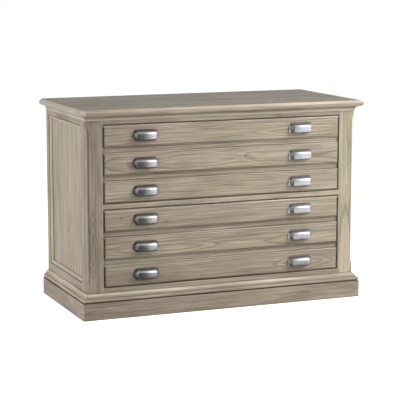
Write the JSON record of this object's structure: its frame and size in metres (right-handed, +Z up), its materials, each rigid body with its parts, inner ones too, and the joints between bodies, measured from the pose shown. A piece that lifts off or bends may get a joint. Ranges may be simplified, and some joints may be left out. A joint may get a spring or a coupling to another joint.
{
  "type": "filing credenza",
  "caption": "Low wide wooden credenza on a moulded plinth, with wide file drawers on ball-bearing slides, banded fronts and metal cup pulls.",
  "frame": {"origin": "middle of the footprint, at the floor", "axes": "+X to the right as one faces the drawers, +Y to the back, +Z up"},
  "size_m": [1.126, 0.523, 0.762],
  "materials": {
    "case_wood": "wire-brushed, grey-brown glaze, low sheen",
    "inner_wood": "plain, unfinished",
    "back_board": "thin board, stained, matt",
    "drawer_box_wood": "clear lacquer, satin",
    "pull_nickel": "brushed nickel, satin",
    "slide_steel": "zinc-plated, smooth",
    "foot_rubber": "moulded, matt"
  },
  "bodies": {
    "case": {"top_panel": "case_wood", "cove_moulding_front": "case_wood", "cove_moulding_left": "case_wood", "cove_moulding_right": "case_wood", "front_stile_left": "case_wood", "front_stile_right": "case_wood", "bottom_rail": "case_wood", "middle_rail": "case_wood", "top_rail": "case_wood", "left_side_front_stile": "case_wood", "left_side_back_stile": "case_wood", "left_side_top_rail": "case_wood", "left_side_bottom_rail": "case_wood", "left_side_panel": "case_wood", "right_side_front_stile": "case_wood", "right_side_back_stile": "case_wood", "right_side_top_rail": "case_wood", "right_side_bottom_rail": "case_wood", "right_side_panel": "case_wood", "back_panel": "back_board", "case_bottom": "inner_wood", "plinth_front": "case_wood", "plinth_left": "case_wood", "plinth_right": "case_wood", "base_cap_front": "case_wood", "base_cap_left": "case_wood", "base_cap_right": "case_wood", "corner_blocks": "inner_wood", "levelling_feet": "foot_rubber", "slide_cleats": "inner_wood", "upper_slide_outer_members": "slide_steel", "lower_slide_outer_members": "slide_steel"},
    "upper_drawer": {"upper_drawer_front": "case_wood", "upper_drawer_sub_front": "drawer_box_wood", "upper_drawer_back": "drawer_box_wood", "upper_drawer_left_side": "drawer_box_wood", "upper_drawer_right_side": "drawer_box_wood", "upper_drawer_bottom": "drawer_box_wood", "upper_file_rails": "slide_steel", "upper_drawer_top_pulls": "pull_nickel", "upper_drawer_middle_pulls": "pull_nickel", "upper_drawer_bottom_pulls": "pull_nickel", "upper_slide_inner_members": "slide_steel"},
    "upper_middle_members": {"upper_slide_middle_members": "slide_steel"},
    "upper_outer_cages": {"upper_slide_outer_ball_cages": "slide_steel"},
    "upper_inner_cages": {"upper_slide_inner_ball_cages": "slide_steel"},
    "lower_drawer": {"lower_drawer_front": "case_wood", "lower_drawer_sub_front": "drawer_box_wood", "lower_drawer_back": "drawer_box_wood", "lower_drawer_left_side": "drawer_box_wood", "lower_drawer_right_side": "drawer_box_wood", "lower_drawer_bottom": "drawer_box_wood", "lower_file_rails": "slide_steel", "lower_drawer_top_pulls": "pull_nickel", "lower_drawer_middle_pulls": "pull_nickel", "lower_drawer_bottom_pulls": "pull_nickel", "lower_slide_inner_members": "slide_steel"},
    "lower_middle_members": {"lower_slide_middle_members": "slide_steel"},
    "lower_outer_cages": {"lower_slide_outer_ball_cages": "slide_steel"},
    "lower_inner_cages": {"lower_slide_inner_ball_cages": "slide_steel"}
  },
  "joints": [
    {"name": "upper_drawer_slide", "type": "slide", "parent": "case", "child": "upper_drawer", "axis": [0, -1, 0], "range_m": [0, 0.44]},
    {"name": "upper_middle_members_slide", "type": "slide", "parent": "case", "child": "upper_middle_members", "axis": [0, -1, 0], "range_m": [0, 0.22]},
    {"name": "upper_outer_cages_slide", "type": "slide", "parent": "case", "child": "upper_outer_cages", "axis": [0, -1, 0], "range_m": [0, 0.11]},
    {"name": "upper_inner_cages_slide", "type": "slide", "parent": "case", "child": "upper_inner_cages", "axis": [0, -1, 0], "range_m": [0, 0.33]},
    {"name": "lower_drawer_slide", "type": "slide", "parent": "case", "child": "lower_drawer", "axis": [0, -1, 0], "range_m": [0, 0.44]},
    {"name": "lower_middle_members_slide", "type": "slide", "parent": "case", "child": "lower_middle_members", "axis": [0, -1, 0], "range_m": [0, 0.22]},
    {"name": "lower_outer_cages_slide", "type": "slide", "parent": "case", "child": "lower_outer_cages", "axis": [0, -1, 0], "range_m": [0, 0.11]},
    {"name": "lower_inner_cages_slide", "type": "slide", "parent": "case", "child": "lower_inner_cages", "axis": [0, -1, 0], "range_m": [0, 0.33]}
  ],
  "couplings": [
    {"joint": "upper_middle_members_slide", "follows": "upper_drawer_slide", "ratio": 0.5},
    {"joint": "upper_outer_cages_slide", "follows": "upper_drawer_slide", "ratio": 0.25},
    {"joint": "upper_inner_cages_slide", "follows": "upper_drawer_slide", "ratio": 0.75},
    {"joint": "lower_middle_members_slide", "follows": "lower_drawer_slide", "ratio": 0.5},
    {"joint": "lower_outer_cages_slide", "follows": "lower_drawer_slide", "ratio": 0.25},
    {"joint": "lower_inner_cages_slide", "follows": "lower_drawer_slide", "ratio": 0.75}
  ]
}
